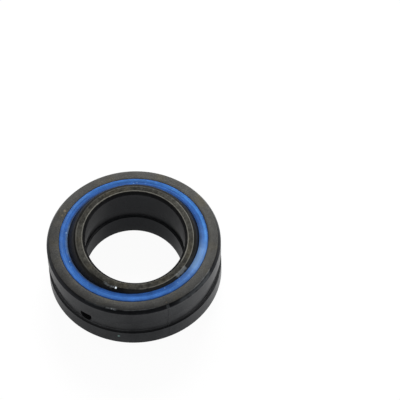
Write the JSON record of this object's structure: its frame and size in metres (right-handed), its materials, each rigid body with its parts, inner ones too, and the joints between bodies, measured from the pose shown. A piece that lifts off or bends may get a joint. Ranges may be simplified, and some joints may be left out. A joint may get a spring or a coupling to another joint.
{
  "type": "spherical plain bearing",
  "caption": "Sealed spherical plain bearing: a blackened outer ring swivels and tilts on the ball-shaped inner ring, with blue lip seals between the rings and a plain bore for a pin.",
  "frame": {"origin": "centre of the ball, on the bore's axis, halfway along the inner ring", "axes": "+Z along the bore, +Y the way the outer ring leans at rest, +X along the tilt axis; the inner ring stands on its lower face"},
  "size_m": [0.035, 0.036, 0.016],
  "materials": {
    "outer_steel": "blackened steel, satin, turned",
    "inner_steel": "blackened steel, satin, ground ball",
    "seal_blue": "moulded blue elastomer, satin"
  },
  "bodies": {
    "inner": {"inner_ring": "inner_steel"},
    "seals": {"upper_seal": "seal_blue", "lower_seal": "seal_blue"},
    "outer": {"outer_ring": "outer_steel"}
  },
  "joints": [
    {"name": "tilt", "type": "hinge", "parent": "inner", "child": "seals", "pos_m": [0, 0, 0], "axis": [1, 0, 0], "range_deg": [0, 13.66]},
    {"name": "swivel", "type": "hinge", "parent": "seals", "child": "outer", "pos_m": [0, 0, 0], "axis": [0, 0.119, 0.9929], "continuous": true}
  ]
}
